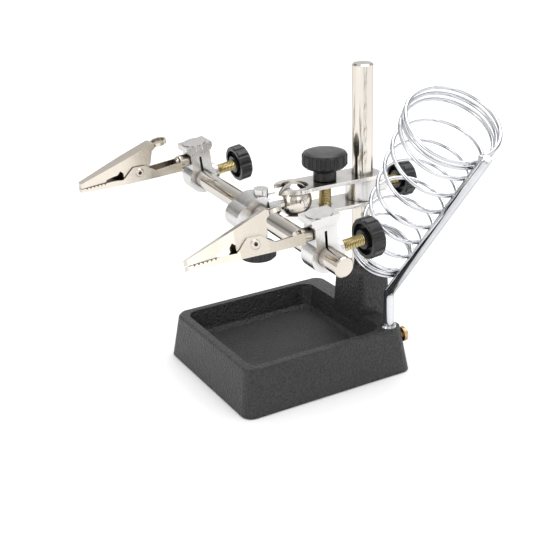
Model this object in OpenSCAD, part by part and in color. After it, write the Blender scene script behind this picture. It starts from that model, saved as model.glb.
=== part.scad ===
// Soldering iron station: a cast base with a tray, a post that carries a pair of
// alligator clips on a cross rod, and a coiled holder for the hot iron.
// Millimetres, +Z up. The origin is under the middle of the rectangular base,
// on the surface that the base pad rests on. +X points to the end with the post.

/* [Base] */
// Length of the base along X, at the bottom
base_len = 90; // [84:1:100]
// Width of the base along Y, at the bottom
base_wid = 81; // [76:1:90]
// Height of the rim above the table
rim_z = 22.5; // [20:0.5:25]
// Height of the tray floor above the table
tray_floor_z = 10; // [8:0.5:12]
// How far each side leans in from bottom to rim
side_draft = 3.1; // [2:0.1:4]
// Width of the rim on the front, back and left
rim_w = 4.6; // [4:0.1:5]
// Height of the post pillar's top above the table
pillar_z = 43; // [38:1:48]

/* [Post] */
// Diameter of the vertical post
post_d = 10; // [9.8:0.1:10.2]
// Height of the post's top above the table
post_top_z = 142; // [136:1:160]
// Post axis, distance to the right of the base's middle
post_x = 40.6; // [40:0.2:41.2]
// Post axis, distance behind the base's middle
post_y = -4; // [-5:0.5:-3]

/* [Iron holder] */
// Diameter of the bent holder rod
rod_d = 4.8; // [4.6:0.1:5.4]
// Holder rod foot, X
foot_x = 36.6; // [36:0.1:37]
// Holder rod foot, Y
foot_y = -32.3; // [-33:0.1:-31.5]
// Height of the rod's bend corner
bend_z = 39.4; // [37:0.2:44]
// Lean of the upper rod away from vertical, degrees
rod_lean = 39; // [34:1:44]
// Compass direction of the lean, degrees from +X
rod_azimuth = -92; // [-96:1:-84]
// Wire diameter of the coil
wire_d = 1.8; // [1.6:0.1:2]
// Radius of the coil's wire line at the bottom turn
coil_r0 = 13.5; // [12:0.5:14]
// Radius of the coil's wire line at the mouth
coil_r1 = 19.9; // [18:0.5:21]

/* [Clamp plates] */
// Height of the middle of the plate pair above the table
arm_z = 83.4; // [82:0.2:85]
// Distance from the post axis to the cross ball
plate_reach = 36.6; // [36:0.2:38]
// Sheet thickness of the plates
plate_t = 1.8; // [1.5:0.1:2]
// Clear gap between the plates
plate_gap = 10.2; // [10:0.1:10.6]
// Width of the plates
plate_w = 17; // [16:0.5:18]
// How far the plates are swung about the post, clip end to the back, degrees
plate_swing = 2; // [0:0.5:3]
// Diameter of the cross ball
ball_d = 16; // [15.8:0.1:16.2]

/* [Cross rod and clips] */
// Diameter of the cross rod
cross_d = 9; // [8.8:0.1:9.2]
// Cross rod length in front of the ball
cross_front = 72; // [68:1:76]
// Cross rod length behind the ball
cross_back = 70; // [69:1:76]
// Tilt of the cross rod, back end up, degrees
arm_tilt = 2.2; // [0:0.2:3]
// Front clip's place along the cross rod
front_y = -55; // [-58:1:-50]
// Rear clip's place along the cross rod
rear_y = 58; // [55:1:61]
// How far the front clamp is turned on the rod, knob up, degrees
front_turn = 5; // [0:1:8]
// How far the rear clamp is turned on the rod, knob up, degrees
rear_turn = 8; // [0:1:8]
// How far the front clip is rolled about its stud, top to the back, degrees
front_roll = 25; // [0:5:30]

/* [Hidden] */

$fn = 48;
e = 0.01;            // thickness of the thin discs that a hull joins
over = 1;            // how far a cutting tool runs past what it cuts
run_fit = 0.05;      // radial clearance of a shaft that turns or slides
post_r = post_d / 2;
rod_r = rod_d / 2;
wire_r = wire_d / 2;
ball_r = ball_d / 2;
cross_r = cross_d / 2;

// Base
pad_t = 0.8;
casting_z = 0.4;               // the pad stands proud of the casting by this much
corner_r = 5;
edge_round = 1.2;
end_wall_x = 31.5;             // tray wall at the post end, at the rim
tray_draft = 1.2;
pillar_w = 18.2;               // pillar along X at the rim
pillar_l = 25.5;               // pillar along Y at the rim
pillar_draft = 1.2;
post_foot_z = 12;
groove_z = 118;                // fine groove turned round the post under its free end
groove_w = 0.6;
groove_d = 0.3;
foot_boss_r = 5.2;
foot_hole_z = 7;
lock_z = 16;                   // height of the holder lock screw
m4_r = 2;
m5_r = 2.5;

// Iron holder
bend_r = 6;
bend_tan = bend_r * tan(rod_lean / 2);
lap = 0.2;                     // how far the straight lengths run into the bend
slant_len = 101.6;
coil_start = 10.8;             // along the rod, from the bend corner to the bottom turn
coil_run = 90;                 // along the rod, from the bottom turn to the mouth
cone_half = atan((coil_r1 - coil_r0) / coil_run);
weld_gap = 0.06;
close_pitch = 2.4;
mouth_pitch = 3.2;
low_turns = 2;
mid_turns = 6.5;
mouth_turns = 2.5;
mid_pitch = (coil_run - low_turns * close_pitch - mouth_turns * mouth_pitch) / mid_turns;
turn_steps = 20;
wire_sides = 8;

// Knobs and screws
small_knob_d = 17.8;
small_knob_t = 6.3;
small_lobes = 14;
big_knob_d = 21.2;
big_knob_t = 8.2;
big_lobes = 16;
big_collar_d = 10.8;
big_collar_t = 5.5;

// Clamp plates
stud_x = 20.4;                 // from the post axis to the plate screw
stud_r = 2.9;
notch_r = 6.5;
collar_r = 8;
collar_play = 0.1;

// Cross rod
neck_len = 20;                 // from the cross ball to the cross rod
rod_drop = 2.1;                // cross rod axis below the ball's centre
centre_t = 11.5;
centre_off = 2;                // middle of the centre clamp, behind the ball
fork_w = 19;                   // width of the plates round the ball
set_gap = 0.1;                 // between a set screw's tip and the rod it locks

// Clip clamps, measured from the cross rod axis
clamp_t = 9;
hook_r = 7.3;
ear_left = 4.8;
ear_right = 5.6;
ear_top = 15;
block_top = 17.8;
stud_z = 10.2;                 // clip stud's root above the cross rod axis
stud_pitch = 7;                // the stud points up by this much, degrees
stud_gap = 0.4;
front_knob_from = 20.4;        // underside of the clamp knob from the rod axis
rear_knob_from = 19.4;
pin_r = 2;

// Alligator clip, measured from its rivet
barrel_x = 24.6;               // rivet to the tail barrel's middle
barrel_len = 4.8;
barrel_r = 3;
sheet = 0.7;
tail_wall = 1;                 // wall that closes the tail in front of the barrel
tip_x = -28.6;

// ---------------------------------------------------------------- helpers

// Rounded rectangle disc, centred on [cx, cy], as four thin corner discs
module corner_discs(cx, cy, l, w, z, r) {
    for (sx = [-1, 1], sy = [-1, 1])
        translate([cx + sx * (l / 2 - r), cy + sy * (w / 2 - r), z])
            cylinder(r = r, h = e, $fn = 32);
}

// Hexagonal prism, across flats af
module hex(af, h) cylinder(d = af / cos(30), h = h, $fn = 6);

// Knob on +Z with its recessed underside at z = 0
module small_knob() {
    rim_r = small_knob_d / 2;
    difference() {
        rotate_extrude()
            polygon([[m5_r, -0.6], [4.2, -0.6], [4.4, 2.6], [6.6, 2.6], [6.9, 0],
                     [rim_r - 0.6, 0], [rim_r, 0.6], [rim_r, small_knob_t - 0.9],
                     [rim_r - 0.9, small_knob_t], [rim_r - 4, small_knob_t + 0.4],
                     [0, small_knob_t + 0.5], [0, 4.6], [m5_r, 4.6]]);
        for (i = [0 : small_lobes - 1])
            rotate([0, 0, i * 360 / small_lobes])
                translate([rim_r + 0.55, 0, -over])
                    cylinder(r = 1.25, h = small_knob_t + 2 * over, $fn = 24);
    }
}

// Plate frame: origin on the post's axis, midway between the plates
module plate_frame() {
    translate([post_x, post_y, arm_z])
        rotate([0, 0, -plate_swing])
            children();
}

// Cross rod frame: origin at the ball, X towards the post, Y along the rod
module arm_frame() {
    plate_frame()
        translate([-plate_reach, 0, 0])
            rotate([arm_tilt, 0, plate_swing])
                children();
}

// Clip clamp frame: origin on the cross rod axis, X towards the clamp knob
module clip_frame(along, turn) {
    arm_frame()
        translate([-neck_len, along, -rod_drop])
            rotate([0, -turn, 0])
                children();
}

// Stud frame: origin where the stud's axis leaves the clamp's left ear, -X outwards
module stud_frame() {
    translate([-ear_left, 0, stud_z])
        rotate([0, stud_pitch, 0])
            children();
}

// Clip frame: origin at the rivet, -X towards the tip
module jaw_frame(along, turn, roll) {
    clip_frame(along, turn)
        stud_frame()
            rotate([-roll, 0, 0])
                translate([-stud_gap - barrel_len / 2 - barrel_x, 0, 0])
                    children();
}

// A side view in X and Z, given thickness w along Y about y = 0
module side_slab(w) {
    translate([0, w / 2, 0])
        rotate([90, 0, 0])
            linear_extrude(w)
                children();
}

// ---------------------------------------------------------------- base

module base_casting() {
    rim_l = base_len - 2 * side_draft;
    rim_b = base_wid - 2 * side_draft;
    tray_x0 = -rim_l / 2 + rim_w;
    tray_l = end_wall_x - tray_x0;
    tray_cx = (end_wall_x + tray_x0) / 2;
    tray_w = rim_b - 2 * rim_w;
    pil_x = end_wall_x + pillar_w / 2;
    color([0.16, 0.16, 0.17])
    difference() {
        union() {
            difference() {
                hull() {
                    corner_discs(0, 0, base_len, base_wid, casting_z, corner_r);
                    corner_discs(0, 0, rim_l + 0.3, rim_b + 0.3, rim_z - edge_round, corner_r);
                    corner_discs(0, 0, rim_l - edge_round, rim_b - edge_round, rim_z - e, corner_r);
                }
                hull() {
                    corner_discs(tray_cx, 0, tray_l - 6, tray_w - 6, tray_floor_z, 4);
                    corner_discs(tray_cx, 0, tray_l - 2 * tray_draft, tray_w - 2 * tray_draft,
                                 tray_floor_z + 2, 5);
                    corner_discs(tray_cx, 0, tray_l, tray_w, rim_z - 0.8, 6);
                    corner_discs(tray_cx, 0, tray_l + 1.6, tray_w + 1.6, rim_z + e, 6);
                }
            }
            hull() {
                corner_discs(pil_x, post_y, pillar_w + 1.6, pillar_l + 1.6, casting_z, 2.5);
                corner_discs(pil_x, post_y, pillar_w, pillar_l, rim_z, 2.5);
                corner_discs(pil_x, post_y, pillar_w - 1.6 * pillar_draft,
                             pillar_l - 2 * pillar_draft, pillar_z - 0.8, 2.5);
                corner_discs(pil_x, post_y, pillar_w - 1.6 * pillar_draft - 1.4,
                             pillar_l - 2 * pillar_draft - 1.4, pillar_z - e, 2);
            }
            translate([foot_x, foot_y, casting_z + over])
                cylinder(r = foot_boss_r, h = rim_z - casting_z - over);
        }
        // shallow seat for the pad
        translate([-base_len / 2 + 2.8, -base_wid / 2 + 2.8, -over])
            cube([base_len - 5.6, base_wid - 5.6, pad_t + over]);
        translate([post_x, post_y, post_foot_z])
            cylinder(r = post_r + 0.02, h = pillar_z);
        // grub screw behind the post
        translate([post_x, post_y, 32])
            rotate([0, 90, 0])
                cylinder(r = m4_r, h = 20);
        translate([foot_x, foot_y, foot_hole_z])
            cylinder(r = rod_r + 0.82, h = rim_z);
        translate([foot_x, foot_y, lock_z])
            rotate([0, 90, 0])
                cylinder(r = m4_r + run_fit, h = 20);
    }
}

module base_pad() {
    color([0.1, 0.1, 0.1])
    translate([-base_len / 2 + 3, -base_wid / 2 + 3, 0])
        cube([base_len - 6, base_wid - 6, pad_t - e]);
}

module rod_bush() {
    color([0.8, 0.8, 0.78])
    difference() {
        union() {
            translate([foot_x, foot_y, foot_hole_z + 0.1])
                cylinder(r = rod_r + 0.8, h = rim_z - foot_hole_z);
            translate([foot_x, foot_y, rim_z + e])
                cylinder(r1 = rod_r + 1.5, r2 = rod_r + 1.2, h = 0.9);
        }
        translate([foot_x, foot_y, 0])
            cylinder(r = rod_r + run_fit, h = rim_z + 10);
        translate([foot_x, foot_y, lock_z])
            rotate([0, 90, 0])
                cylinder(r = m4_r + run_fit, h = 20);
    }
}

module post() {
    color([0.78, 0.75, 0.7])
    difference() {
        translate([post_x, post_y, post_foot_z + 0.1])
            union() {
                cylinder(r = post_r, h = post_top_z - post_foot_z - 0.9);
                translate([0, 0, post_top_z - post_foot_z - 0.9])
                    cylinder(r1 = post_r, r2 = post_r - 0.8, h = 0.8);
            }
        translate([post_x, post_y, groove_z])
            difference() {
                cylinder(r = post_r + over, h = groove_w);
                translate([0, 0, -over])
                    cylinder(r = post_r - groove_d, h = groove_w + 2 * over);
            }
    }
}

module post_grub_screw() {
    color([0.35, 0.35, 0.36])
    translate([post_x + post_r + 0.05, post_y, 32])
        rotate([0, 90, 0])
            difference() {
                cylinder(r = m4_r - 0.02, h = 3.4);
                translate([0, 0, 1.4])
                    hex(2, 3);
            }
}

// ---------------------------------------------------------------- iron holder

// Holder frame: origin at the rod's foot on the table, X in the direction of the lean
module holder_frame() {
    translate([foot_x, foot_y, 0])
        rotate([0, 0, rod_azimuth])
            children();
}

module holder_rod() {
    arc_z = bend_z - bend_tan;
    color([0.85, 0.86, 0.88])
    holder_frame() {
        translate([0, 0, foot_hole_z + 0.6])
            cylinder(r = rod_r, h = arc_z - foot_hole_z - 0.6 + lap);
        translate([bend_r, 0, arc_z])
            rotate([90, 0, 0])
                rotate([0, 0, 180 - rod_lean])
                    rotate_extrude(angle = rod_lean)
                        translate([bend_r, 0])
                            circle(r = rod_r + 0.03);
        translate([bend_r - bend_r * cos(rod_lean), 0, arc_z + bend_r * sin(rod_lean)])
            rotate([0, rod_lean, 0]) {
                translate([0, 0, -lap])
                    cylinder(r = rod_r, h = slant_len + lap);
                translate([0, 0, slant_len])
                    cylinder(r1 = rod_r, r2 = rod_r - 0.7, h = 0.7);
            }
    }
}

// Distance along the rod of the wire after t turns from the bottom
function coil_s(t) =
    t < low_turns ? t * close_pitch :
    t < low_turns + mid_turns ? low_turns * close_pitch + (t - low_turns) * mid_pitch :
    low_turns * close_pitch + mid_turns * mid_pitch
        + (t - low_turns - mid_turns) * mouth_pitch;

// Frame of the cone: z along its axis, rod at -X
function coil_r(s) = coil_r0 + (coil_r1 - coil_r0) * s / coil_run;

function coil_point(t, a) =
    let (s = coil_s(t),
         r = coil_r(s) + wire_r * cos(a),
         h = s * cos(cone_half) + wire_r * sin(a))
    [-r * cos(360 * t), r * sin(360 * t), h];

module holder_spring() {
    turns = low_turns + mid_turns + mouth_turns;
    rings = turns * turn_steps;
    pts = [for (i = [0 : rings], k = [0 : wire_sides - 1])
        coil_point(i / turn_steps, 360 * k / wire_sides)];
    sides = [for (i = [0 : rings - 1], k = [0 : wire_sides - 1])
        let (k2 = (k + 1) % wire_sides, a = i * wire_sides, b = a + wire_sides)
        [a + k, a + k2, b + k2, b + k]];
    first = [for (k = [wire_sides - 1 : -1 : 0]) k];
    last = [for (k = [0 : wire_sides - 1]) rings * wire_sides + k];
    off = rod_r + wire_r + coil_r0 + weld_gap;
    tilt = rod_lean - cone_half;
    along = coil_start;
    color([0.85, 0.86, 0.88])
    holder_frame()
        translate([along * sin(rod_lean) - off * cos(tilt), 0,
                   bend_z + along * cos(rod_lean) + off * sin(tilt)])
            rotate([0, tilt, 0])
                rotate([0, 0, 180])
                    polyhedron(points = pts, faces = concat(sides, [first, last]), convexity = 10);
}

module holder_lock_screw() {
    tip = rod_r + set_gap;
    face = base_len / 2 - side_draft * lock_z / rim_z - foot_x;
    color([0.72, 0.6, 0.38])
    translate([foot_x, foot_y, lock_z])
        rotate([0, 90, 0])
            difference() {
                union() {
                    translate([0, 0, tip])
                        cylinder(r = m4_r, h = face + 1.2 - tip);
                    translate([0, 0, face + 1.1])
                        cylinder(r = 3.6, h = 1.9);
                    translate([0, 0, face + 3])
                        cylinder(r1 = 3.6, r2 = 2.6, h = 0.8);
                }
                translate([-4, -0.5, face + 2.6])
                    cube([8, 1, 3]);
            }
}

// ---------------------------------------------------------------- collar on the post

module post_collar() {
    h = plate_gap - 2 * collar_play;
    color([0.72, 0.72, 0.72])
    translate([post_x, post_y, arm_z])
        difference() {
            union() {
                translate([0, 0, -h / 2])
                    cylinder(r = collar_r, h = h);
                rotate([0, 90, 0])
                    cylinder(r = 4.2, h = 12);
            }
            translate([0, 0, -h])
                cylinder(r = post_r + run_fit, h = 2 * h);
            rotate([0, 90, 0])
                cylinder(r = m5_r + run_fit, h = 20);
        }
}

module collar_screw() {
    color([0.78, 0.66, 0.38])
    translate([post_x, post_y, arm_z])
        rotate([0, 90, 0])
            translate([0, 0, post_r + set_gap])
                cylinder(r = m5_r, h = 24.5 - post_r);
}

module collar_knob() {
    color([0.1, 0.1, 0.11])
    translate([post_x + 20.1, post_y, arm_z])
        rotate([0, 90, 0])
            small_knob();
}

// ---------------------------------------------------------------- clamp plates

module plate_blank() {
    difference() {
        union() {
            circle(d = plate_w);
            translate([-plate_reach, 0])
                circle(d = fork_w);
            translate([-plate_reach, -plate_w / 2])
                square([plate_reach, plate_w]);
        }
        circle(r = post_r + run_fit);
        translate([-stud_x, 0])
            circle(r = stud_r + 0.15);
        translate([-plate_reach, 0])
            circle(r = notch_r);
        translate([-plate_reach - plate_w, -5.2])
            square([plate_w, 10.4]);
    }
}

module lower_plate() {
    color([0.8, 0.79, 0.75])
    plate_frame()
        translate([0, 0, -plate_gap / 2 - plate_t])
            linear_extrude(plate_t)
                plate_blank();
}

module upper_plate() {
    color([0.8, 0.79, 0.75])
    plate_frame()
        translate([0, 0, plate_gap / 2])
            linear_extrude(plate_t)
                plate_blank();
}

module plate_nut() {
    color([0.75, 0.75, 0.74])
    plate_frame()
        translate([-stud_x, 0, -plate_gap / 2 - plate_t - 2.3])
            difference() {
                hex(8.4, 2.2);
                translate([0, 0, -over])
                    cylinder(r = stud_r + 0.1, h = 6);
            }
}

module plate_screw() {
    low = -plate_gap / 2 - plate_t - 3.2;
    color([0.78, 0.7, 0.4])
    plate_frame()
        translate([-stud_x, 0, low])
            cylinder(r = stud_r, h = plate_gap / 2 + plate_t + 9.9 - low);
}

module plate_knob() {
    r = big_knob_d / 2;
    c = big_collar_d / 2;
    t0 = big_collar_t;
    t1 = big_collar_t + big_knob_t;
    color([0.1, 0.1, 0.11])
    plate_frame()
        translate([-stud_x, 0, plate_gap / 2 + plate_t + 0.15])
            difference() {
                rotate_extrude()
                    polygon([[stud_r, 0], [c - 0.3, 0], [c, 0.3], [c, t0 - 1.4], [c + 1.2, t0],
                             [r - 1.4, t0 + 0.5], [r, t0 + 1.9], [r, t1 - 1.8],
                             [r - 0.7, t1 - 0.8], [r - 2.2, t1 - 0.2], [5, t1 + 0.2],
                             [0, t1 + 0.3], [0, 9.9], [stud_r, 9.9]]);
                for (i = [0 : big_lobes - 1])
                    rotate([0, 0, i * 360 / big_lobes])
                        translate([r + 0.6, 0, t0 - 1])
                            cylinder(r = 1.35, h = big_knob_t + 3, $fn = 24);
            }
}

// ---------------------------------------------------------------- cross ball and centre clamp

module cross_ball() {
    color([0.8, 0.79, 0.76])
    arm_frame() {
        sphere(r = ball_r, $fn = 64);
        rotate([0, -90, 0])
            cylinder(r = 3.4, h = neck_len - cross_r - 1.6);
    }
}

module centre_clamp() {
    color([0.72, 0.72, 0.73])
    arm_frame()
        translate([-neck_len, 0, -rod_drop])
            difference() {
                union() {
                    translate([0, centre_off, 0])
                        side_slab(centre_t)
                            union() {
                                circle(r = 8.2);
                                translate([-6, -1.5])
                                    circle(r = 6.2);
                                translate([-6, -7.7])
                                    square([6, 12.4]);
                            }
                    // socket for the ball's neck
                    translate([4, 0, rod_drop])
                        rotate([0, 90, 0])
                            cylinder(r = 5.2, h = 6);
                    // boss over the rod
                    translate([2.4, 0, 0])
                        cylinder(r = 3.3, h = 10.8);
                    // boss for the set screw
                    translate([0, 0, -12])
                        cylinder(r = 5, h = 8);
                }
                translate([0, 2 * centre_t, 0])
                    rotate([90, 0, 0])
                        cylinder(r = cross_r + run_fit, h = 4 * centre_t);
                translate([cross_r + 1.5, 0, rod_drop])
                    rotate([0, 90, 0])
                        cylinder(r = 3.42, h = 20);
                translate([0, 0, -20])
                    cylinder(r = m5_r + run_fit, h = 20);
            }
}

module centre_screw() {
    color([0.78, 0.66, 0.38])
    arm_frame()
        translate([-neck_len, 0, -rod_drop - cross_r - set_gap])
            rotate([180, 0, 0])
                cylinder(r = m5_r, h = 15.4);
}

module centre_knob() {
    color([0.1, 0.1, 0.11])
    arm_frame()
        translate([-neck_len, 0, -rod_drop - cross_r - set_gap - 10.9])
            rotate([180, 0, 0])
                small_knob();
}

module cross_rod() {
    chamfer = 0.5;
    color([0.8, 0.79, 0.76])
    arm_frame()
        translate([-neck_len, -cross_front, -rod_drop])
            rotate([-90, 0, 0]) {
                translate([0, 0, chamfer])
                    cylinder(r = cross_r, h = cross_front + cross_back - 2 * chamfer);
                cylinder(r1 = cross_r - chamfer, r2 = cross_r, h = chamfer);
                translate([0, 0, cross_front + cross_back - chamfer])
                    cylinder(r1 = cross_r, r2 = cross_r - chamfer, h = chamfer);
            }
}

// ---------------------------------------------------------------- clip clamps

module clamp_body() {
    difference() {
        union() {
            side_slab(clamp_t)
                union() {
                    circle(r = hook_r);
                    translate([-ear_left, 0])
                        square([ear_left + ear_right, ear_top + 0.5]);
                    translate([-ear_left - 1.2, -3])
                        square([4, 3.8]);
                }
            side_slab(clamp_t + 1.6)
                union() {
                    translate([-ear_left - 1.8, ear_top])
                        square([ear_left + ear_right + 3.2, block_top - ear_top]);
                    translate([-ear_left - 0.8, ear_top - 1])
                        square([ear_left + ear_right + 1.4, 2]);
                }
            translate([0, 0, ear_top])
                cylinder(r = clamp_t / 2 + 1.1, h = block_top - ear_top + 0.3);
            rotate([0, 90, 0])
                cylinder(r = 4, h = 9);
        }
        translate([0, clamp_t, 0])
            rotate([90, 0, 0])
                cylinder(r = cross_r + run_fit, h = 2 * clamp_t);
        rotate([0, 90, 0])
            cylinder(r = m5_r + run_fit, h = 20);
        stud_frame()
            translate([-over, 0, 0])
                rotate([0, 90, 0])
                    cylinder(r = pin_r + run_fit, h = 3.8 + over);
        // slit above the rod and the open side below the set screw
        translate([-0.6, -clamp_t, 0])
            cube([1.2, 2 * clamp_t, ear_top - 3.4]);
        translate([1.5, -clamp_t, -hook_r - over])
            cube([2 * hook_r, 2 * clamp_t, hook_r + over - 4.1]);
    }
}

module clamp_screw(from) {
    rotate([0, 90, 0])
        translate([0, 0, cross_r + set_gap])
            cylinder(r = m5_r, h = from + 4.5 - cross_r);
}

module clamp_knob(from) {
    translate([from, 0, 0])
        rotate([0, 90, 0])
            small_knob();
}

// Stud in the clamp's left ear that the clip turns on, with a head inside the tail
module clip_stud() {
    reach = stud_gap + barrel_len + tail_wall;
    stud_frame()
        rotate([0, -90, 0]) {
            translate([0, 0, -3.7])
                cylinder(r = pin_r, h = 3.7 + reach + 0.1);
            translate([0, 0, reach + 0.06])
                cylinder(r1 = 2.5, r2 = 2, h = 0.8);
        }
}

module front_clamp() color([0.72, 0.72, 0.73]) clip_frame(front_y, front_turn) clamp_body();
module rear_clamp() color([0.72, 0.72, 0.73]) clip_frame(rear_y, rear_turn) clamp_body();
module front_screw() color([0.78, 0.66, 0.38]) clip_frame(front_y, front_turn) clamp_screw(front_knob_from);
module rear_screw() color([0.78, 0.66, 0.38]) clip_frame(rear_y, rear_turn) clamp_screw(rear_knob_from);
module front_knob() color([0.1, 0.1, 0.11]) clip_frame(front_y, front_turn) clamp_knob(front_knob_from);
module rear_knob() color([0.1, 0.1, 0.11]) clip_frame(rear_y, rear_turn) clamp_knob(rear_knob_from);
module front_stud() color([0.75, 0.74, 0.7]) clip_frame(front_y, front_turn) clip_stud();
module rear_stud() color([0.75, 0.74, 0.7]) clip_frame(rear_y, rear_turn) clip_stud();

// ---------------------------------------------------------------- alligator clips

// Half widths of the jaws at the tip, at the rivet and at the tail
tip_w = 1.9;
low_w = 4.3;
up_w = low_w - sheet - 0.15;
tail_w = 3.5;

module low_plan(inset) {
    polygon([[tip_x - over, -tip_w + inset], [tip_x, -tip_w + inset], [-7, -low_w + inset],
             [6, -low_w + inset], [barrel_x + 4, -tail_w + inset],
             [barrel_x + 4, tail_w - inset], [6, low_w - inset], [-7, low_w - inset],
             [tip_x, tip_w - inset], [tip_x - over, tip_w - inset]]);
}

module up_plan(inset) {
    polygon([[tip_x - over, -tip_w + inset], [tip_x, -tip_w + inset], [-8, -up_w + inset],
             [9, -up_w + inset], [9, up_w - inset], [-8, up_w - inset],
             [tip_x, tip_w - inset], [tip_x - over, tip_w - inset]]);
}

module upright(z0, z1) translate([0, 0, z0]) linear_extrude(z1 - z0) children();

// Lower jaw: a folded channel that runs from the tip to the crimped tail barrel
module lower_jaw() {
    tail_end = barrel_x - barrel_len / 2;
    difference() {
        union() {
            intersection() {
                side_slab(4 * low_w)
                    polygon([[tip_x, -5.2], [tail_end + 0.4, -3.9], [tail_end + 0.4, 0.8],
                             [9, -0.6], [5.5, 1.2], [3, 3], [-3, 3], [-5, 1.2], [-7.4, -1.4],
                             [tip_x, -3.5]]);
                upright(-8, 8) low_plan(0);
            }
            translate([tail_end, 0, 0])
                rotate([0, 90, 0])
                    cylinder(r = barrel_r, h = barrel_len);
        }
        intersection() {
            side_slab(4 * low_w)
                polygon([[tip_x + 1.2, -4.4], [tail_end - tail_wall, -3.2],
                         [tail_end - tail_wall, 9], [tip_x + 1.2, 9]]);
            upright(-8, 8) low_plan(sheet);
        }
        translate([tail_end - 3, 0, 0])
            rotate([0, 90, 0])
                cylinder(r = pin_r + 0.03, h = 2 * barrel_len);
        translate([0, 2 * low_w, 0])
            rotate([90, 0, 0])
                cylinder(r = 1.2, h = 4 * low_w);
        // lower half of the side windows ahead of the rivet
        side_slab(4 * low_w)
            polygon([[-16.5, -2.1], [-8.2, -2.1], [-7.6, -1], [-7.6, 0.5], [-16.5, 0.5]]);
    }
}

// Upper jaw: an inverted channel with a round thumb pad
module upper_jaw() {
    difference() {
        union() {
            intersection() {
                side_slab(4 * up_w)
                    polygon([[tip_x, -3.2], [tip_x, -0.9], [7.4, 12.6], [9.4, 12.2], [9.4, 10.6],
                             [7.4, 9], [6.4, 3.4], [3, -1.9], [-3, -1.9], [-5, -0.8], [-8, -1.1]]);
                upright(-8, 16) up_plan(0);
            }
            translate([12.3, 0, 11.9])
                rotate([0, -11, 0])
                    translate([0, 0, -0.9])
                        difference() {
                            cylinder(r = 4, h = 1.7);
                            translate([0, 0, 0.9])
                                cylinder(r = 3.1, h = 1);
                        }
        }
        intersection() {
            side_slab(4 * up_w)
                polygon([[tip_x + 1.2, -9], [tip_x + 1.2, -1.22], [6.2, 11.44], [7, 10.2],
                         [9.9, 10.2], [9.9, -9]]);
            upright(-9, 12) up_plan(sheet);
        }
        translate([0, 2 * low_w, 0])
            rotate([90, 0, 0])
                cylinder(r = 1.25, h = 4 * low_w);
        // upper half of the side windows
        side_slab(4 * low_w)
            polygon([[-16.5, -2.4], [-16.5, -1.1], [-15, -0.5], [-10.6, 0.6], [-9.4, 2.2],
                     [-7.8, 0.9], [-7.8, -2.4]]);
    }
}

module jaw_rivet() {
    translate([0, low_w + 0.6, 0])
        rotate([90, 0, 0])
            cylinder(r = 1.2 - e, h = 2 * low_w + 1.2);
    for (s = [-1, 1])
        translate([0, s * (low_w + e), 0])
            rotate([-s * 90, 0, 0])
                difference() {
                    cylinder(r1 = 2.1, r2 = 1.7, h = 0.6);
                    translate([0, 0, 0.25])
                        cylinder(r = 0.8, h = 1);
                }
}

// Coil round the rivet with one leg along the tail
module jaw_spring() {
    wire = 0.45;
    coil = 1.78;
    top = coil + wire;
    dip = coil + 0.25;
    rotate([90, 0, 0])
        rotate_extrude()
            polygon([[coil - wire, -2], [dip, -2], [top, -1.6], [dip, -1.2], [top, -0.8],
                     [dip, -0.4], [top, 0], [dip, 0.4], [top, 0.8], [dip, 1.2], [top, 1.6],
                     [dip, 2], [coil - wire, 2]]);
    translate([0, 1.5, -coil])
        rotate([0, 90, 0])
            cylinder(r = wire - 0.05, h = 9);
    translate([0, -1.5, coil])
        rotate([0, 90, 0])
            cylinder(r = wire - 0.05, h = 4.2);
}

module front_lower_jaw() color([0.82, 0.8, 0.74]) jaw_frame(front_y, front_turn, front_roll) lower_jaw();
module rear_lower_jaw() color([0.82, 0.8, 0.74]) jaw_frame(rear_y, rear_turn, 0) lower_jaw();
module front_upper_jaw() color([0.82, 0.8, 0.74]) jaw_frame(front_y, front_turn, front_roll) upper_jaw();
module rear_upper_jaw() color([0.82, 0.8, 0.74]) jaw_frame(rear_y, rear_turn, 0) upper_jaw();
module front_rivet() color([0.7, 0.7, 0.68]) jaw_frame(front_y, front_turn, front_roll) jaw_rivet();
module rear_rivet() color([0.7, 0.7, 0.68]) jaw_frame(rear_y, rear_turn, 0) jaw_rivet();
module front_jaw_spring() color([0.6, 0.55, 0.45]) jaw_frame(front_y, front_turn, front_roll) jaw_spring();
module rear_jaw_spring() color([0.6, 0.55, 0.45]) jaw_frame(rear_y, rear_turn, 0) jaw_spring();

// ---------------------------------------------------------------- the nodes

base_casting();
base_pad();
post();
post_grub_screw();
rod_bush();
holder_rod();
holder_spring();
holder_lock_screw();
post_collar();
collar_screw();
collar_knob();
lower_plate();
upper_plate();
plate_screw();
plate_knob();
plate_nut();
cross_ball();
centre_clamp();
centre_screw();
centre_knob();
cross_rod();
front_clamp();
front_screw();
front_knob();
front_stud();
front_lower_jaw();
front_rivet();
front_jaw_spring();
front_upper_jaw();
rear_clamp();
rear_screw();
rear_knob();
rear_stud();
rear_lower_jaw();
rear_rivet();
rear_jaw_spring();
rear_upper_jaw();
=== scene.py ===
import math

import bmesh
import bpy
from mathutils import Matrix, Vector


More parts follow.
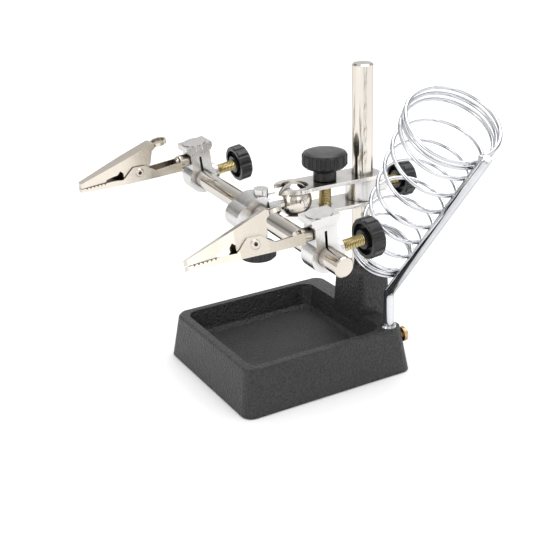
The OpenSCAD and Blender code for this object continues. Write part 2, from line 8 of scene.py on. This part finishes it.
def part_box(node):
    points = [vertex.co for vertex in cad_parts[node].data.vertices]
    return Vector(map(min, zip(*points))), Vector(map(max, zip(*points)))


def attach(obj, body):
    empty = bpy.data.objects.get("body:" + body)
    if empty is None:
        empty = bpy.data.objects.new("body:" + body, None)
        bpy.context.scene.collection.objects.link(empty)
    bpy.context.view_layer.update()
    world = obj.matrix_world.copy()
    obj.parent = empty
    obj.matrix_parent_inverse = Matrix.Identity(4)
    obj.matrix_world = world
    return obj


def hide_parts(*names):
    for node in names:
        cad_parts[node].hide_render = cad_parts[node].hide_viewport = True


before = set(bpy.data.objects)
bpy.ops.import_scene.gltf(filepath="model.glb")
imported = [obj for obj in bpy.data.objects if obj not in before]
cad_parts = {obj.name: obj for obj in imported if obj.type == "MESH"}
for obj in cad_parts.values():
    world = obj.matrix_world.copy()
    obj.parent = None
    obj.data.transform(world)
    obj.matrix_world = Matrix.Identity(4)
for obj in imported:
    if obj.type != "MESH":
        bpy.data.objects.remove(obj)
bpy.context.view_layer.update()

MM = 0.001
SIDES = ("front", "rear")


# ---------------------------------------------------------------- materials

NOISE_SPAN = (0.36, 0.62)     # noise values where the dark and the light colour are reached
ROUGH_NOISE_SPAN = (0.3, 0.7)
# painted shade: the spans and reach below darken colours towards the outline and deep in
# corners
EDGE_SHADE_SPAN = (0.45, 0.92)      # from nearly facing to nearly edge-on
CORNER_SHADE_SPAN = (0.25, 0.9)      # from deep in a corner to open
CORNER_SHADE_REACH = 0.004
WAVE_TURN = 20.0              # a wave texture of scale 1 turns 20 radians in a metre


def link_range(nt, value, span, at_low, at_high):
    """A Map Range node that takes value over span to at_low..at_high."""
    node = nt.nodes.new("ShaderNodeMapRange")
    node.inputs["From Min"].default_value = span[0]
    node.inputs["From Max"].default_value = span[1]
    node.inputs["To Min"].default_value = at_low
    node.inputs["To Max"].default_value = at_high
    nt.links.new(value, node.inputs["Value"])
    return node.outputs["Result"]


def darker(nt, colour, amount, span, at_low, at_high):
    """Multiply a colour by a grey that runs from at_low to at_high as amount covers span."""
    grey = link_range(nt, amount, span, at_low, at_high)
    v = nt.nodes.new("ShaderNodeVectorMath")
    v.operation = "SCALE"
    nt.links.new(colour, v.inputs[0])
    nt.links.new(grey, v.inputs["Scale"])
    return v.outputs["Vector"]


def noise(nt, where, scale, detail):
    n = nt.nodes.new("ShaderNodeTexNoise")
    n.inputs["Scale"].default_value = scale
    n.inputs["Detail"].default_value = detail
    nt.links.new(where, n.inputs["Vector"])
    return n


def bumped(nt, height, strength, depth, below=None):
    b = nt.nodes.new("ShaderNodeBump")
    b.inputs["Strength"].default_value = strength
    b.inputs["Distance"].default_value = depth
    nt.links.new(height, b.inputs["Height"])
    if below:
        nt.links.new(below, b.inputs["Normal"])
    return b.outputs["Normal"]


def material(name, base, dark, rough, metallic, colour_scale=60.0, rough_var=0.05,
             bump=0.0, bump_scale=900.0, bump_depth=0.0002, coat=0.0, rings=None,
             edge_shade=1.0, corner_shade=1.0):
    """A procedural material in object space. rings = (axis, pitch) cuts a thread into it.

    The last two arguments paint shade into the colour: the first is how much of the colour
    is left where the surface turns away from the view, the second how much deep in a corner.
    """
    m = bpy.data.materials.new(name)
    m.use_nodes = True
    nt = m.node_tree
    nt.nodes.clear()
    out = nt.nodes.new("ShaderNodeOutputMaterial")
    p = nt.nodes.new("ShaderNodeBsdfPrincipled")
    nt.links.new(p.outputs["BSDF"], out.inputs["Surface"])
    p.inputs["Metallic"].default_value = metallic
    if coat:
        p.inputs["Coat Weight"].default_value = coat
        p.inputs["Coat Roughness"].default_value = 0.15
    where = nt.nodes.new("ShaderNodeTexCoord").outputs["Object"]

    ramp = nt.nodes.new("ShaderNodeValToRGB")
    for stop, position, tone in zip(ramp.color_ramp.elements, NOISE_SPAN, (dark, base)):
        stop.position = position
        stop.color = (*tone, 1.0)
    nt.links.new(noise(nt, where, colour_scale, 4.0).outputs["Fac"], ramp.inputs["Fac"])
    colour = ramp.outputs["Color"]
    # painted shade: the colour darkens where the surface turns away from the view
    if edge_shade < 1.0:
        lw = nt.nodes.new("ShaderNodeLayerWeight")
        lw.inputs["Blend"].default_value = 0.5
        colour = darker(nt, colour, lw.outputs["Facing"], EDGE_SHADE_SPAN, 1.0, edge_shade)
    # painted shade: the colour darkens deep in corners, from ambient occlusion
    if corner_shade < 1.0:
        ao = nt.nodes.new("ShaderNodeAmbientOcclusion")
        ao.samples = 6
        ao.inputs["Distance"].default_value = CORNER_SHADE_REACH
        colour = darker(nt, colour, ao.outputs["AO"], CORNER_SHADE_SPAN, corner_shade, 1.0)
    nt.links.new(colour, p.inputs["Base Color"])

    patches = noise(nt, where, colour_scale * 2.3, 3.0).outputs["Fac"]
    nt.links.new(link_range(nt, patches, ROUGH_NOISE_SPAN, max(0.02, rough - rough_var),
                            rough + rough_var), p.inputs["Roughness"])

    normal = None
    if bump:
        grain = noise(nt, where, bump_scale, 2.5)
        grain.inputs["Roughness"].default_value = 0.55
        normal = bumped(nt, grain.outputs["Fac"], bump, bump_depth)
    if rings:
        axis, pitch = rings
        w = nt.nodes.new("ShaderNodeTexWave")
        w.wave_type = "BANDS"
        w.bands_direction = axis
        w.wave_profile = "TRI"
        w.inputs["Scale"].default_value = 1.0 / pitch / WAVE_TURN * math.pi * 2.0
        w.inputs["Distortion"].default_value = 0.0
        nt.links.new(where, w.inputs["Vector"])
        normal = bumped(nt, w.outputs["Fac"], 0.9, 0.0004, normal)
    if normal:
        nt.links.new(normal, p.inputs["Normal"])
    return m


THREAD_PITCH = 0.0008
BRASS = ((0.80, 0.66, 0.33), (0.66, 0.52, 0.22), 0.24, 1.0)

# painted shade: several finishes below darken their colour towards the outline and deep in
# corners
M = {
    "paint": material("hammer_paint", (0.028, 0.0265, 0.0285), (0.007, 0.007, 0.0075), 0.42,
                      0.0, colour_scale=1000.0, rough_var=0.08, bump=1.0, bump_scale=900.0,
                      bump_depth=0.0011, coat=0.03, corner_shade=0.45),
    "pad": material("pad_rubber", (0.03, 0.03, 0.03), (0.02, 0.02, 0.02), 0.8, 0.0,
                    bump=0.3, bump_scale=1500.0),
    "nickel": material("polished_nickel", (0.71, 0.67, 0.61), (0.63, 0.58, 0.52), 0.12, 1.0,
                       colour_scale=25.0, rough_var=0.03, bump=0.03, bump_scale=260.0,
                       edge_shade=0.35, corner_shade=0.35),
    "plate": material("nickel_plate", (0.76, 0.73, 0.70), (0.68, 0.65, 0.61), 0.2, 1.0,
                      colour_scale=30.0, rough_var=0.04, bump=0.04, bump_scale=300.0,
                      edge_shade=0.45, corner_shade=0.4),
    "chrome": material("bright_chrome", (0.70, 0.71, 0.74), (0.60, 0.61, 0.64), 0.08, 1.0,
                       colour_scale=70.0, rough_var=0.03, edge_shade=0.2, corner_shade=0.5),
    "cast": material("satin_zinc", (0.72, 0.71, 0.70), (0.63, 0.62, 0.61), 0.24, 1.0,
                     colour_scale=60.0, rough_var=0.05, bump=0.12, bump_scale=220.0,
                     bump_depth=0.0003, edge_shade=0.45, corner_shade=0.3),
    "brass_x": material("brass_thread_x", *BRASS, rings=("X", THREAD_PITCH)),
    "brass_z": material("brass_thread_z", *BRASS, rings=("Z", THREAD_PITCH)),
    "lock": material("browned_brass", (0.60, 0.46, 0.26), (0.30, 0.20, 0.11), 0.3, 1.0,
                     colour_scale=260.0),
    "plastic": material("black_plastic", (0.009, 0.009, 0.010), (0.005, 0.005, 0.006), 0.36,
                        0.0, colour_scale=150.0, rough_var=0.07, bump=0.12,
                        bump_scale=1600.0),
    "clip": material("clip_nickel", (0.74, 0.68, 0.60), (0.65, 0.59, 0.50), 0.25, 1.0,
                     colour_scale=35.0, rough_var=0.05, bump=0.05, bump_scale=240.0,
                     edge_shade=0.4, corner_shade=0.3),
    "dark": material("dark_steel", (0.16, 0.15, 0.14), (0.09, 0.08, 0.08), 0.5, 1.0),
}

WHICH = {
    "base_casting": "paint", "base_pad": "pad", "post": "nickel", "post_grub_screw": "dark",
    "rod_bush": "chrome", "holder_rod": "chrome", "holder_spring": "chrome",
    "holder_lock_screw": "lock", "post_collar": "cast", "collar_screw": "brass_x",
    "collar_knob": "plastic", "lower_plate": "plate", "upper_plate": "plate",
    "plate_screw": "brass_z", "plate_knob": "plastic", "plate_nut": "nickel",
    "cross_ball": "nickel", "centre_clamp": "cast", "centre_screw": "brass_z",
    "centre_knob": "plastic", "cross_rod": "nickel",
}
CLIP_PARTS = {
    "clamp": "cast", "screw": "brass_x", "knob": "plastic", "stud": "nickel",
    "lower_jaw": "clip", "upper_jaw": "clip", "rivet": "clip", "jaw_spring": "dark",
}
for side in SIDES:
    WHICH.update({f"{side}_{part}": key for part, key in CLIP_PARTS.items()})

# width of the rounded edges, in mm
BEVEL = {"base_casting": 0.9, "post_collar": 0.4, "centre_clamp": 1.1, "front_clamp": 0.8,
         "rear_clamp": 0.8, "plate_knob": 0.35, "collar_knob": 0.25, "centre_knob": 0.25,
         "front_knob": 0.25, "rear_knob": 0.25, "lower_plate": 0.25, "upper_plate": 0.25}
BEVEL_ANGLE = 38.0


def paint(obj, key):
    obj.data.materials.clear()
    obj.data.materials.append(M[key])


def soften(obj, width):
    b = obj.modifiers.new("edges", "BEVEL")
    b.width = width * MM
    b.segments = 3
    b.limit_method = "ANGLE"
    b.angle_limit = math.radians(BEVEL_ANGLE)
    b.harden_normals = False
    b.use_clamp_overlap = True


for name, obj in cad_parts.items():
    paint(obj, WHICH[name])
    if name in BEVEL:
        soften(obj, BEVEL[name])


# ---------------------------------------------------------------- making pieces

def new_object(name, data):
    o = bpy.data.objects.new(name, data)
    bpy.context.scene.collection.objects.link(o)
    return o


def middle_mm(node):
    low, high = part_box(node)
    return [(a + b) / 2 / MM for a, b in zip(low, high)]


def wire(name, points, radius, key):
    """A round wire along points, all in mm."""
    c = bpy.data.curves.new(name, "CURVE")
    c.dimensions = "3D"
    c.bevel_depth = radius * MM
    c.bevel_resolution = 4
    c.use_fill_caps = True
    s = c.splines.new("POLY")
    s.points.add(len(points) - 1)
    for q, pt in zip(s.points, points):
        q.co = (*(Vector(pt) * MM), 1.0)
    s.use_smooth = True
    o = new_object(name, c)
    o.data.materials.append(M[key])
    return o


def mesh_object(name, bm, key, smooth_angle=40.0):
    me = bpy.data.meshes.new(name)
    bm.to_mesh(me)
    bm.free()
    me.materials.append(M[key])
    for f in me.polygons:
        f.use_smooth = True
    me.set_sharp_from_angle(angle=math.radians(smooth_angle))
    return new_object(name, me)


def turned(profile, centre, steps=96):
    """A closed round solid from (radius, height) pairs in mm, about a vertical axis."""
    bm = bmesh.new()
    angles = [2 * math.pi * i / steps for i in range(steps)]
    rings = [[bm.verts.new(((centre[0] + r * math.cos(a)) * MM,
                            (centre[1] + r * math.sin(a)) * MM, z * MM)) for a in angles]
             for r, z in profile]
    for a, b in zip(rings, rings[1:]):
        for i in range(steps):
            j = (i + 1) % steps
            bm.faces.new((a[i], a[j], b[j], b[i]))
    bm.faces.new(list(reversed(rings[0])))
    bm.faces.new(rings[-1])
    return bm


# ---------------------------------------------------------------- the coil, as round wire

# the holder's own sizes in mm and degrees, the same as in part.scad
FOOT = Vector((36.6, -32.3, 0.0))
LEAN, AZIMUTH = math.radians(39.0), math.radians(-92.0)
BEND_Z, ROD_R, WIRE_R, WELD_GAP = 39.4, 2.4, 0.9, 0.06
COIL_R0, COIL_R1, COIL_RUN, COIL_START = 13.5, 19.9, 90.0, 10.8
LOW_TURNS, MID_TURNS, MOUTH_TURNS = 2.0, 6.5, 2.5
LOW_PITCH, MOUTH_PITCH = 2.4, 3.2
MID_PITCH = (COIL_RUN - LOW_TURNS * LOW_PITCH - MOUTH_TURNS * MOUTH_PITCH) / MID_TURNS
STEPS_PER_TURN = 72
HALF = math.atan((COIL_R1 - COIL_R0) / COIL_RUN)
TILT = LEAN - HALF
OFF = ROD_R + WIRE_R + COIL_R0 + WELD_GAP
HOLDER = Matrix.Translation(FOOT) @ Matrix.Rotation(AZIMUTH, 4, "Z")
CONE = (HOLDER
        @ Matrix.Translation((COIL_START * math.sin(LEAN) - OFF * math.cos(TILT), 0.0,
                              BEND_Z + COIL_START * math.cos(LEAN) + OFF * math.sin(TILT)))
        @ Matrix.Rotation(TILT, 4, "Y") @ Matrix.Rotation(math.pi, 4, "Z"))


def coil_s(t):
    """How far along the cone the wire has come after t turns."""
    if t < LOW_TURNS:
        return t * LOW_PITCH
    if t < LOW_TURNS + MID_TURNS:
        return LOW_TURNS * LOW_PITCH + (t - LOW_TURNS) * MID_PITCH
    return (LOW_TURNS * LOW_PITCH + MID_TURNS * MID_PITCH
            + (t - LOW_TURNS - MID_TURNS) * MOUTH_PITCH)


def coil_point(t):
    s = coil_s(t)
    r = COIL_R0 + (COIL_R1 - COIL_R0) * s / COIL_RUN
    return CONE @ Vector((-r * math.cos(2 * math.pi * t), r * math.sin(2 * math.pi * t),
                          s * math.cos(HALF)))


turns = LOW_TURNS + MID_TURNS + MOUTH_TURNS
coil = wire("coil_wire", [coil_point(i / STEPS_PER_TURN)
                          for i in range(int(turns * STEPS_PER_TURN) + 1)], WIRE_R, "chrome")
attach(coil, "holder")
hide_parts("holder_spring")


# ---------------------------------------------------------------- the plain post

POST_R, CHAMFER = 5.0, 0.8
post_foot, post_top = (corner[2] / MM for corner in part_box("post"))
post = mesh_object("post_plain",
                   turned([(POST_R, post_foot), (POST_R, post_top - CHAMFER),
                           (POST_R - CHAMFER, post_top)], middle_mm("post")), "nickel")
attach(post, "base")
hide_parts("post")


# ---------------------------------------------------------------- the clips' small marks: painted shade in the tooth gaps and in the hollow rivet ends

ARM_TILT, STUD_PITCH = 2.2, 7.0
CLIP_POSE = {"front": (5.0, 25.0), "rear": (8.0, 0.0)}    # clamp turn and clip roll


def clip_matrix(side, turn, roll):
    """A clip's own frame: origin in the middle of the rivet, -X towards the tip."""
    return (Matrix.Translation(middle_mm(side + "_rivet"))
            @ Matrix.Rotation(math.radians(ARM_TILT), 4, "X")
            @ Matrix.Rotation(math.radians(STUD_PITCH - turn), 4, "Y")
            @ Matrix.Rotation(math.radians(-roll), 4, "X"))


# the lower jaw narrows from LOW_W at HEEL_X to TIP_W at TIP_X, and its upper edge, the seam
# with the upper jaw, rises SEAM_RISE over SEAM_RUN from SEAM_Z at the tip
TIP_X, TIP_W, LOW_W, HEEL_X = -28.6, 1.9, 4.3, -7.0
SEAM_Z, SEAM_RISE, SEAM_RUN = -3.5, 2.1, 21.2
# painted shade: dark triangles where the shaded gaps between the lower jaw's serrations show
TEETH, TOOTH, TOOTH_STEP, FIRST_TOOTH = 6, 1.35, 1.75, 2.0
TOOTH_UP, TOOTH_DOWN = 0.3, -0.75
PROUD, SUNK = 0.04, -0.1
# painted shade: a dark disc in each hollow rivet end, its radius and its span out from the
# middle
EYE_R, EYE_FROM, EYE_TO = 0.85, 4.5, 4.93


def add_tooth_gap_shade(bm, here, s, x0):
    """Painted shade: a thin dark triangle on the clip's side s, where the shaded gap between
    two serrations shows.
    """
    outer, inner = [], []
    for x, dz in ((x0, TOOTH_UP), (x0 + TOOTH, TOOTH_UP), (x0 + TOOTH / 2, TOOTH_DOWN)):
        y = TIP_W + (LOW_W - TIP_W) * (x - TIP_X) / (HEEL_X - TIP_X)
        z = SEAM_Z + SEAM_RISE * (x - TIP_X) / SEAM_RUN + dz
        for row, depth in ((outer, PROUD), (inner, SUNK)):
            row.append(bm.verts.new(here @ Vector((x, s * (y + depth), z)) * MM))
    bm.faces.new(outer)
    bm.faces.new(inner[::-1])
    for k in range(3):
        bm.faces.new((outer[k], inner[k], inner[(k + 1) % 3], outer[(k + 1) % 3]))


def add_rivet_hollow_shade(bm, here, s):
    """Painted shade: a dark disc in the hollow end of the rivet on the clip's side s, where
    the hollow lies in shade.
    """
    made = bmesh.ops.create_cone(bm, cap_ends=True, segments=32, radius1=EYE_R * MM,
                                 radius2=EYE_R * MM, depth=(EYE_TO - EYE_FROM) * MM)
    place = (Matrix.Translation(here @ Vector((0.0, s * (EYE_FROM + EYE_TO) / 2, 0.0)) * MM)
             @ here.to_3x3().to_4x4() @ Matrix.Rotation(math.pi / 2, 4, "X"))
    bmesh.ops.transform(bm, matrix=place, verts=made["verts"])


for side in SIDES:
    here = clip_matrix(side, *CLIP_POSE[side])
    bm = bmesh.new()
    for s in (-1, 1):
        for i in range(TEETH):
            add_tooth_gap_shade(bm, here, s, TIP_X + FIRST_TOOTH + TOOTH_STEP * i)
    bmesh.ops.recalc_face_normals(bm, faces=bm.faces)
    # painted shade of the tooth gaps, given the dark steel material
    gap_shade = mesh_object(side + "_teeth", bm, "dark", 20.0)
    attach(gap_shade, side + "_clip")
    bm = bmesh.new()
    for s in (-1, 1):
        add_rivet_hollow_shade(bm, here, s)
    # painted shade in the hollow rivet ends, given the black plastic material
    hollow_shade = mesh_object(side + "_rivet_eyes", bm, "plastic")
    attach(hollow_shade, side + "_clip")


# ---------------------------------------------------------------- floor

floor_mesh = bpy.data.meshes.new("floor")
bm = bmesh.new()
bmesh.ops.create_grid(bm, x_segments=1, y_segments=1, size=60.0)
bm.to_mesh(floor_mesh)
bm.free()
floor = new_object("floor", floor_mesh)
floor.location = (0.0, 0.0, -0.0001)
fm = bpy.data.materials.new("floor_white")
fm.use_nodes = True
fp = fm.node_tree.nodes["Principled BSDF"]
fp.inputs["Base Color"].default_value = (0.93, 0.93, 0.93, 1.0)
fp.inputs["Roughness"].default_value = 0.9
fp.inputs["Specular IOR Level"].default_value = 0.0
floor.data.materials.append(fm)


# ---------------------------------------------------------------- light

WORLD_STRENGTH = 0.95
# (place round the object as a share of a turn, grey): dark flags between bright cards, so
# that the bright metal has something to reflect
FLAGS = [(0.0, 1.05), (0.05, 1.1), (0.09, 0.30), (0.12, 1.0), (0.24, 1.1), (0.29, 0.16),
         (0.32, 1.0), (0.43, 1.1), (0.47, 0.25), (0.50, 1.0), (0.54, 1.1), (0.57, 0.20),
         (0.60, 1.05), (0.72, 1.1), (0.79, 0.8), (0.83, 0.16), (0.87, 1.05), (1.0, 1.05)]
# (height of the direction, grey), from the horizon to straight up
HEIGHTS = [(0.0, 0.55), (0.07, 0.95), (0.45, 1.0), (0.62, 0.55), (0.75, 0.9), (1.0, 0.85)]

world = bpy.data.worlds.new("studio")
bpy.context.scene.world = world
world.use_nodes = True
wt = world.node_tree
bg = wt.nodes["Background"]
wc = wt.nodes.new("ShaderNodeTexCoord")
sep = wt.nodes.new("ShaderNodeSeparateXYZ")
wt.links.new(wc.outputs["Generated"], sep.inputs["Vector"])


def ramp_of(stops, source):
    r = wt.nodes.new("ShaderNodeValToRGB")
    e = r.color_ramp.elements
    e[0].position, e[0].color = stops[0][0], (*[stops[0][1]] * 3, 1.0)
    e[1].position, e[1].color = stops[-1][0], (*[stops[-1][1]] * 3, 1.0)
    for pos, v in stops[1:-1]:
        e.new(pos).color = (v, v, v, 1.0)
    wt.links.new(source, r.inputs["Fac"])
    return r


around = wt.nodes.new("ShaderNodeTexGradient")
around.gradient_type = "RADIAL"
wt.links.new(wc.outputs["Generated"], around.inputs["Vector"])
flags = ramp_of(FLAGS, around.outputs["Fac"])
height = ramp_of(HEIGHTS, sep.outputs["Z"])
mix = wt.nodes.new("ShaderNodeMix")
mix.data_type = "RGBA"
mix.blend_type = "MULTIPLY"
mix.inputs[0].default_value = 1.0
wt.links.new(flags.outputs["Color"], mix.inputs[6])
wt.links.new(height.outputs["Color"], mix.inputs[7])
wt.links.new(mix.outputs[2], bg.inputs["Color"])
bg.inputs["Strength"].default_value = WORLD_STRENGTH


def area(name, loc, target, size, power):
    d = bpy.data.lights.new(name, "AREA")
    d.shape = "RECTANGLE"
    d.size, d.size_y = size
    d.energy = power
    o = new_object(name, d)
    o.location = loc
    o.rotation_euler = (Vector(target) - Vector(loc)).to_track_quat("-Z", "Y").to_euler()


area("key", (0.35, 0.30, 1.0), (0.0, 0.0, 0.05), (0.9, 0.9), 4.5)
area("left", (-0.9, -0.3, 0.5), (0.0, -0.02, 0.06), (0.4, 0.9), 2.0)
area("front", (0.1, -1.1, 0.55), (0.0, 0.0, 0.06), (0.7, 0.4), 1.2)
sky = bpy.data.lights.new("overhead", "SUN")
sky.energy = 1.3
sky.angle = math.radians(60)
sky_obj = new_object("overhead", sky)
sky_obj.rotation_euler = (math.radians(12), math.radians(14), 0.0)


# ---------------------------------------------------------------- camera

CAMERA_AT = Vector((-225.78, -392.80, 235.20)) * MM
PITCH, YAW, ROLL = (math.radians(a) for a in (22.397, 61.060, -1.876))

cam_data = bpy.data.cameras.new("camera")
cam_data.lens = 69.04
cam_data.sensor_width = 36.0
cam = new_object("camera", cam_data)
fwd = Vector((math.cos(YAW) * math.cos(PITCH), math.sin(YAW) * math.cos(PITCH),
              -math.sin(PITCH)))
right = Vector((math.sin(YAW), -math.cos(YAW), 0.0))
up = right.cross(fwd)
rolled_right = right * math.cos(ROLL) + up * math.sin(ROLL)
rolled_up = up * math.cos(ROLL) - right * math.sin(ROLL)
rotation = Matrix((rolled_right, rolled_up, -fwd)).transposed().to_4x4()
cam.matrix_world = Matrix.Translation(CAMERA_AT) @ rotation
bpy.context.scene.camera = cam
bpy.context.scene.view_settings.view_transform = "Standard"
